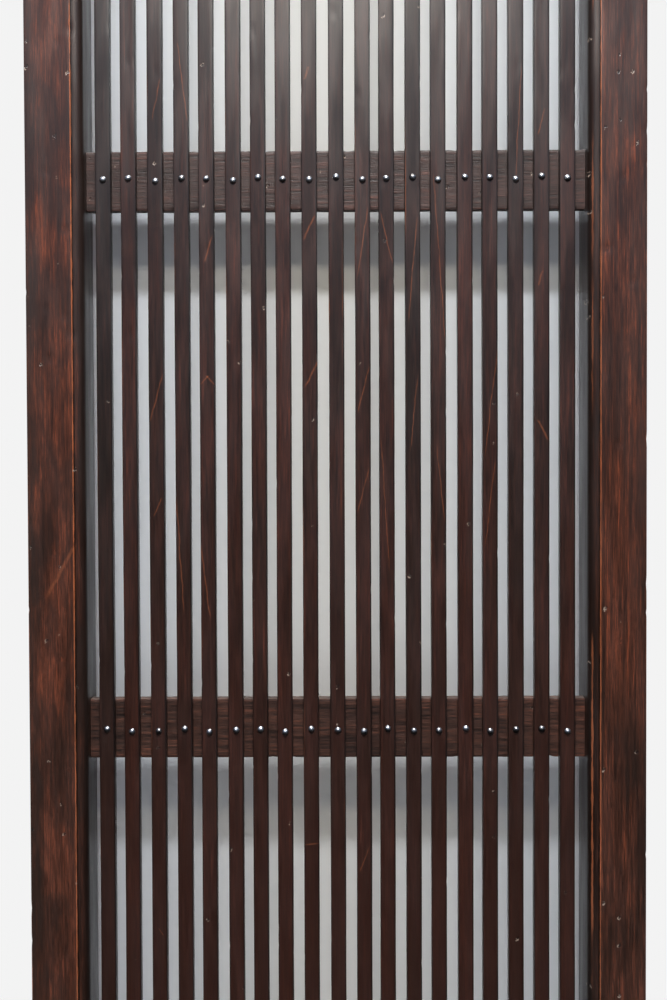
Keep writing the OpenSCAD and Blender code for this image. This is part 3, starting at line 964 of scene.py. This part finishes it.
def metal(name, colour, stain, rough, patches=90):
    """Metal with a mottled surface, darker and duller in patches."""
    material, g, shader = new_material(name)
    place = object_place(g)[1]
    spots = g.noise(place, patches, 4, 0.6)
    fine = g.noise(place, 900, 3, 0.6)
    g.feed(shader.inputs["Base Color"], g.mix(g.ramp(spots, 0.4, 0.68), colour, stain))
    g.feed(shader.inputs["Roughness"], g.math("ADD", rough, g.ramp(fine, 0.3, 0.7, -0.05, 0.1)))
    shader.inputs["Metallic"].default_value = 1.0
    bump = g.add("ShaderNodeBump", {"Height": fine, "Strength": 0.25, "Distance": 0.05 * MM})
    g.feed(shader.inputs["Normal"], bump.outputs[0])
    return material


def dress(piece, material, slot=None):
    """Gives a piece its one material, and hangs a new piece on the leaf's body."""
    piece.data.materials.clear()
    piece.data.materials.append(material)
    if slot is not None:
        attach(piece, "leaf")


# How red each slat is, from the left
SLAT_REDNESS = [
    0.2, 0.48, 0.38, 0.4, 0.42, 0.46, 0.42, 0.48, 0.4, 0.36,
    0.42, 0.46, 0.3, 0.42, 0.52, 0.42, 0.32, 0.4, 0.45,
]

# Bare slanting streaks: the slat's number, the offset from its middle, the height, the lean, which
# is how far the streak goes to the right for each millimetre up, half its height and half its
# width. All but the number and the lean are in millimetres.
SLAT_STREAKS = [
    (3, 0.0, 955, 0.26, 25, 0.9), (3, 0.5, 848, 0.45, 10, 0.9), (4, -3.5, 800, -0.06, 60, 0.8),
    (5, -3.0, 972, 0.9, 5, 1.3), (5, 3.0, 972, -0.9, 5, 1.3), (5, -3.0, 775, -0.12, 40, 0.9),
    (9, 0.0, 1120, 0.45, 13, 1.3), (9, -2.0, 1270, 0.3, 7, 1.6), (9, 2.0, 978, 0.5, 14, 1.3),
    (11, 0.0, 1106, 0.15, 37, 0.8), (11, 0.5, 962, 0.25, 24, 0.9), (11, 0.0, 864, 0.25, 23, 0.8),
    (11, 0.0, 500, 0.4, 14, 0.8), (12, 0.0, 1110, -0.22, 27, 0.7), (12, -2.0, 850, -0.06, 70, 0.6),
    (13, 0.0, 1080, 0.09, 55, 0.7), (13, 1.0, 940, 0.1, 40, 0.6), (14, 1.0, 1090, -0.07, 90, 0.7),
    (14, 2.0, 870, -0.1, 40, 0.6), (16, 1.0, 950, 0.12, 60, 0.6), (16, 0.0, 850, 0.12, 45, 0.6),
    (17, 2.5, 1220, 0.05, 60, 0.6), (18, 0.0, 1222, 0.3, 14, 1.0), (18, 1.0, 922, -0.5, 11, 1.4),
    (18, -1.0, 1070, 0.3, 8, 1.2), (4, 1.5, 1262, -0.12, 42, 0.7), (3, 1.0, 1245, 0.2, 22, 0.8),
    (5, 2.0, 1100, 0.3, 14, 1.2), (9, 0.0, 515, 4.0, 1.2, 6), (3, 1.0, 428, -0.7, 4, 0.8),
]


def slat_wood(number):
    slants = [
        (slat_middle(number) + x * MM, z * MM, lean, length * MM, width * MM)
        for slat, x, z, lean, length, width in SLAT_STREAKS if slat == number
    ]
    edge = SLAT_HALF - 0.6 * MM
    edges = [
        (0, abs(slat_middle(number) + side * edge), 0.3 * MM, 0.36) for side in (-1, 1)
    ]
    return stained_wood(
        f"slat wood {number}", dark=rgb(27, 19, 15), red=rgb(54, 22, 13),
        redness=SLAT_REDNESS[number - 1], contrast=0.35, streaks=0.25, shift=(0, 0, number * 0.37),
        lines=edges, rub=0.4, slants=slants, sides=slat_middle(number),
        knocks=0.1, knock_scale=85, depth=0.16 * MM, lower=0.35,
    )


# ---- The leaf ----

LYING = (0, QUARTER, 0)                     # turns the grain of a piece that lies along X

face_lines = [(0, FACE_X + 0.5 * MM, 0.6 * MM, 0.75), (0, HALF_W, 0.8 * MM, 0.45)]
steep_line = [(0, OPEN_X + 3.6 * MM, 0.9 * MM, 0.45)]
STILE_WOOD = {
    "stile_left": stained_wood(
        "left stile wood", red=rgb(80, 39, 23), redness=0.62, streaks=0.75,
        lines=face_lines, moulding=True,
        outer=0.6, knocks=0.35, rub=0.5, upper=0.3, blotch=0.6,
        slants=[(-268 * MM, 787 * MM, 0.54, 28 * MM, 2.4 * MM)],
    ),
    "stile_right": stained_wood(
        "right stile wood", red=rgb(74, 36, 21), redness=0.52, streaks=0.85,
        lines=face_lines + steep_line, moulding=True, shift=(0.13, 0, 0.4),
        outer=0.25, knocks=0.35, rub=0.4, upper=0.35, blotch=0.4,
    ),
}
RAIL_WOOD = stained_wood(
    "rail wood", red=rgb(66, 35, 22), redness=0.55, streaks=0.9, turn=LYING,
    lines=[(2, FACE_Z0, 0.7 * MM, 0.8), (2, FACE_Z1, 0.7 * MM, 0.8)],
)
CROSS_WOOD = {
    "upper": stained_wood(
        "upper cross rail wood", dark=rgb(34, 24, 22), red=rgb(62, 39, 34), redness=0.5, streaks=0.3,
        turn=LYING, knocks=0.25, knock_scale=120, gloss=0.5, depth=0.6 * MM, sawn=True,
        dusty_lit_top=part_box("cross_rail_upper")[1].z,
    ),
    "lower": stained_wood(
        "lower cross rail wood", dark=rgb(36, 24, 20), red=rgb(72, 42, 31), redness=0.5, streaks=0.4,
        turn=LYING, shift=(0.2, 0, 0.1), knocks=0.25, knock_scale=120, gloss=0.5, depth=0.6 * MM,
        sawn=True,
        dusty_lit_top=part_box("cross_rail_lower")[1].z,
    ),
}
WEDGE_WOOD = stained_wood(
    "wedge wood", red=rgb(86, 48, 34), redness=0.8, streaks=0.3, turn=LYING, gloss=0.6
)
BLACK_STEEL = metal("blackened nail steel", rgb(196, 198, 202), rgb(104, 100, 98), 0.3)
PLATED_STEEL = metal("zinc plate", rgb(196, 198, 202), rgb(140, 142, 146), 0.34)
AXLE_STEEL = metal("axle steel", rgb(130, 130, 134), rgb(78, 74, 72), 0.3)
WHEEL_BRASS = metal("wheel brass", rgb(206, 168, 92), rgb(128, 92, 48), 0.3)

for name, side, seed in (("stile_left", -1, 11), ("stile_right", 1, 12)):
    stile = model_stile(f"{name}_wood", side, seed)
    dress(stile, STILE_WOOD[name], "frame_wood")
    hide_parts(name)

top_rail = model_rail("top_rail_wood", TOP_Z, FACE_Z1, OPEN_Z1, TOP_TENON)
cut_away(top_rail, *tongue_cutters())
bottom_rail = model_rail("bottom_rail_wood", BOTTOM_Z, FACE_Z0, OPEN_Z0, BOTTOM_TENON)
for side in ("left", "right"):
    cut_away(bottom_rail, *roller_room(side))
for rail, name in ((top_rail, "top_rail"), (bottom_rail, "bottom_rail")):
    smooth(rail)
    dress(rail, RAIL_WOOD, "frame_wood")
    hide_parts(name)

slat_blank = model_slat_blank()
for number in range(1, SLAT_COUNT + 1):
    slat = model_slat(slat_blank, number)
    slot = "slat_wood_dark" if number % 2 else "slat_wood_red"
    dress(slat, slat_wood(number), slot)
    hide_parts(slat_name(number))
bpy.data.meshes.remove(slat_blank.data)

nail = model_nail()
for row in ROWS:
    cross_rail = model_cross_rail(row)
    dress(cross_rail, CROSS_WOOD[row], "frame_wood")
    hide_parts(f"cross_rail_{row}")
    nails = model_nails(nail, row)
    dress(nails, BLACK_STEEL, "nail_steel")
    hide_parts(f"nails_{row}")
bpy.data.meshes.remove(nail.data)

dress(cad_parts["tenon_wedges"], WEDGE_WOOD)
for side in ("left", "right"):
    dress(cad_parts[f"roller_case_{side}"], PLATED_STEEL)
    dress(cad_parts[f"roller_screws_{side}"], PLATED_STEEL)
    dress(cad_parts[f"roller_axle_{side}"], AXLE_STEEL)
    dress(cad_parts[f"roller_wheel_{side}"], WHEEL_BRASS)

# ---- Stage, light and camera ----

BOARD_Y = 0.047                             # the white board close behind the leaf
BOARD_HALF_W = 1.3
BOARD_H = 2.3
EYE = Vector((-0.0019, -0.936, 0.938))
LENS = 34.1
TURN_LEFT = math.radians(0.30)
TILT_DOWN = math.radians(0.94)
ROLL = math.radians(-0.22)
SHIFT = (0.004, -0.070)


def stage_material(name, colour):
    """A matt paint with a faint mottle."""
    material, g, shader = new_material(name)
    mottle = g.noise(object_place(g)[1], 6, 4, 0.6)
    darker = tuple(value * 0.95 for value in colour[:3]) + (1.0,)
    g.feed(shader.inputs["Base Color"], g.mix(mottle, darker, colour))
    shader.inputs["Roughness"].default_value = 0.9
    shader.inputs["Specular IOR Level"].default_value = 0.1
    return material, g, shader


def make_floor():
    """A pale floor. The camera sees it partly as an even tone, so that no part of it glares."""
    nothing_selected()
    bpy.ops.mesh.primitive_plane_add(size=14, location=(0, 0, 0))
    floor = named("floor")
    material, g, shader = stage_material("pale floor", rgb(226, 224, 220))
    steady = g.add("ShaderNodeEmission", {"Color": rgb(206, 205, 202), "Strength": 1.0})
    seen = g.math("MULTIPLY", g.add("ShaderNodeLightPath").outputs["Is Camera Ray"], 0.65)
    evened = g.add("ShaderNodeMixShader", {"Fac": seen, 1: shader.outputs[0], 2: steady.outputs[0]})
    g.feed(material.node_tree.nodes["Material Output"].inputs["Surface"], evened.outputs[0])
    floor.data.materials.append(material)
    floor.visible_glossy = False


def make_board():
    """A white board that shows only from the front and lets every light through."""
    nothing_selected()
    bpy.ops.mesh.primitive_plane_add(size=1, location=(0, BOARD_Y, BOARD_H / 2), rotation=(QUARTER, 0, 0))
    board = named("board")
    board.scale = (2 * BOARD_HALF_W, BOARD_H, 1)
    bpy.ops.object.transform_apply(location=True, rotation=True, scale=True)
    material, g, shader = stage_material("white board", rgb(250, 250, 248))
    own = object_place(g)[0]
    paint = shader.inputs["Base Color"].links[0].from_socket
    # Painted shade: the board's paint is darker higher up, against the stronger lamp light there.
    upper = g.ramp(g.split(own)[2], 0.45, 1.1, 0.0, 1.0)
    paint = g.mix(upper, paint, rgb(232, 232, 230))
    cooler = g.ramp(g.math("ABSOLUTE", g.split(own)[0]), 0.0, 0.24, 0.0, 0.6)
    g.feed(shader.inputs["Base Color"], g.mix(cooler, paint, rgb(226, 234, 246)))
    beside = g.ramp(g.math("ABSOLUTE", g.split(own)[0]), HALF_W - 0.03, HALF_W - 0.005)
    beside = g.math("MAXIMUM", beside, g.ramp(g.split(own)[2], TOP_Z - 0.03, TOP_Z - 0.005))
    glow = g.add("ShaderNodeEmission", {"Color": rgb(243, 243, 243), "Strength": 1.0})
    lit = g.add("ShaderNodeMixShader", {"Fac": beside, 1: shader.outputs[0], 2: glow.outputs[0]})
    clear = g.add("ShaderNodeBsdfTransparent")
    rays = g.add("ShaderNodeLightPath")
    back = g.add("ShaderNodeNewGeometry").outputs["Backfacing"]
    unseen = g.math("MAXIMUM", back, rays.outputs["Is Shadow Ray"])
    either = g.add("ShaderNodeMixShader", {"Fac": unseen, 1: lit.outputs[0], 2: clear.outputs[0]})
    output = material.node_tree.nodes["Material Output"]
    g.feed(output.inputs["Surface"], either.outputs[0])
    board.data.materials.append(material)


def make_lamp(name, kind, place, target, energy, colour, **settings):
    lamp = bpy.data.lights.new(name, kind)
    lamp.energy = energy
    lamp.color = colour
    for label, value in settings.items():
        setattr(lamp, label, value)
    holder = bpy.data.objects.new(name, lamp)
    bpy.context.scene.collection.objects.link(holder)
    holder.location = place
    holder.rotation_euler = (Vector(target) - Vector(place)).to_track_quat("-Z", "Y").to_euler()
    holder.visible_camera = False
    return holder


def make_world():
    """Even cool fill, a bright upper room for the gloss, and a pale surround for the camera."""
    world = bpy.data.worlds.new("studio")
    world.use_nodes = True
    bpy.context.scene.world = world
    g = Graph(world.node_tree)
    world.node_tree.nodes.clear()
    way = g.add("ShaderNodeTexCoord").outputs["Generated"]
    sideways, onward, height = g.split(way)
    fill = g.mix(g.ramp(height, -0.6, 0.6), rgb(100, 96, 92), rgb(168, 176, 188))
    room = g.mix(g.ramp(height, -0.1, 0.5), rgb(40, 42, 47), (0.42, 0.51, 0.71, 1))
    room = g.mix(g.ramp(height, -0.5, -0.05), rgb(14, 12, 12), room)
    room = g.mix(g.ramp(onward, -0.3, 0.2), room, rgb(30, 30, 30))
    room = g.mix(g.ramp(g.math("ABSOLUTE", sideways), 0.5, 0.9, 0.0, 0.7), room, rgb(12, 12, 13))
    rays = g.add("ShaderNodeLightPath").outputs
    colour = g.mix(rays["Is Glossy Ray"], fill, room)
    colour = g.mix(rays["Is Camera Ray"], colour, rgb(232, 232, 230))
    background = g.add("ShaderNodeBackground", {"Color": colour, "Strength": 1.0})
    output = g.add("ShaderNodeOutputWorld")
    g.feed(output.inputs[0], background.outputs[0])


def make_camera():
    data = bpy.data.cameras.new("camera")
    data.lens = LENS
    data.sensor_width = 36
    data.shift_x, data.shift_y = SHIFT
    camera = bpy.data.objects.new("camera", data)
    bpy.context.scene.collection.objects.link(camera)
    camera.location = EYE
    aim = Matrix.Rotation(TURN_LEFT, 4, "Z") @ Matrix.Rotation(QUARTER - TILT_DOWN, 4, "X")
    camera.rotation_euler = (aim @ Matrix.Rotation(ROLL, 4, "Z")).to_euler()
    bpy.context.scene.camera = camera


make_camera()
make_floor()
make_board()
make_world()
make_lamp(
    "main lamp", "AREA", (0, -0.85, 2.43), (0, -1.19, 1.49), 94, (0.96, 0.98, 1.0),
    shape="RECTANGLE", size=0.5, size_y=0.18,
)
make_lamp(
    "warm lamp", "AREA", (0, -1.107, 2.21), (0, 0, 0.6), 12, (1.0, 0.9, 0.72),
    shape="RECTANGLE", size=0.4, size_y=0.15,
)
for lamp in (
    make_lamp("back left", "AREA", (-1.6, 2.4, 1.9), (0, 0, 0.9), 40, (1.0, 0.98, 0.95), size=1.6),
    make_lamp("back right", "AREA", (1.8, 1.8, 1.5), (0, 0, 0.9), 26, (0.94, 0.97, 1.0), size=1.6),
):
    lamp.visible_glossy = False
bpy.context.scene.view_settings.view_transform = "Standard"
